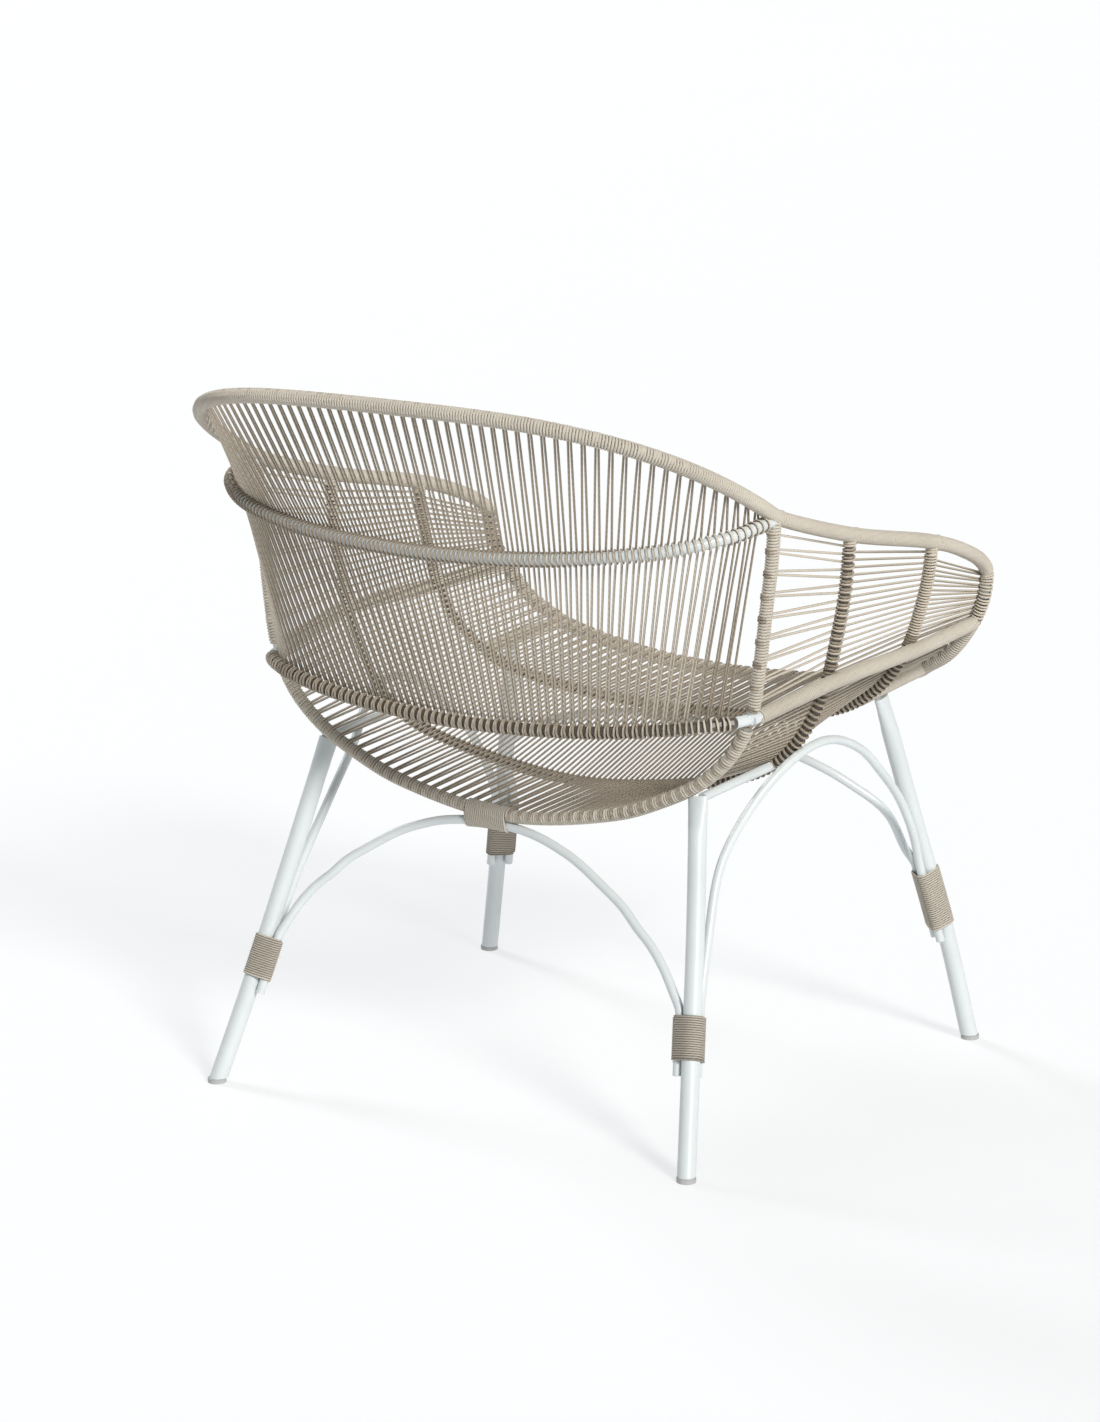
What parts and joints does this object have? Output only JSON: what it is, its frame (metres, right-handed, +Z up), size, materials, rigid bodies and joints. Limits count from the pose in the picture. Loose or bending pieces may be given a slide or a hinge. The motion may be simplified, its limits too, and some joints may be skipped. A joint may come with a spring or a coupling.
{
  "type": "acapulco chair",
  "caption": "Low garden armchair: bent steel tube frame with string back, sides and seat, arched braces between splayed legs and cord-bound joints.",
  "frame": {"origin": "on the floor, in the middle of the chair's bounding box seen from above", "axes": "+Z up; +Y towards the back, so the sitter faces -Y; +X towards the sitter's left"},
  "size_m": [0.6916, 0.7506, 0.8149],
  "materials": {
    "steel": "smooth satin powder coat, pale cool grey-white",
    "string_cord": "round laid cord in warm greige, matt",
    "binding_cord": "the same greige cord, closely wound, matt",
    "glide": "matt grey moulded plastic"
  },
  "bodies": {
    "root": {"top_rail": "steel", "front_bow": "steel", "rear_hoop": "steel", "middle_hoop": "steel", "fore_hoop": "steel", "back_mid_rail": "steel", "back_low_rail": "steel", "rear_arch": "steel", "front_arch": "steel", "side_rail_right": "steel", "side_rail_left": "steel", "rear_strut_right": "steel", "rear_strut_left": "steel", "front_strut_right": "steel", "front_strut_left": "steel", "rear_leg_right": "steel", "rear_leg_left": "steel", "front_leg_right": "steel", "front_leg_left": "steel", "side_arch_right": "steel", "side_arch_left": "steel", "rear_glide_right": "glide", "rear_glide_left": "glide", "front_glide_right": "glide", "front_glide_left": "glide", "rear_binding_right": "binding_cord", "rear_binding_left": "binding_cord", "front_binding_right": "binding_cord", "front_binding_left": "binding_cord", "rear_arch_binding": "binding_cord", "front_arch_binding": "binding_cord", "side_cords_right": "string_cord", "side_cords_left": "string_cord", "seat_cords_outer_right": "string_cord", "seat_cords_outer_left": "string_cord", "seat_cords_inner_right": "string_cord", "seat_cords_inner_left": "string_cord", "back_cords_1": "string_cord", "back_cords_2": "string_cord", "back_cords_3": "string_cord", "back_cords_4": "string_cord", "back_cords_5": "string_cord", "back_cords_6": "string_cord"}
  },
  "joints": []
}
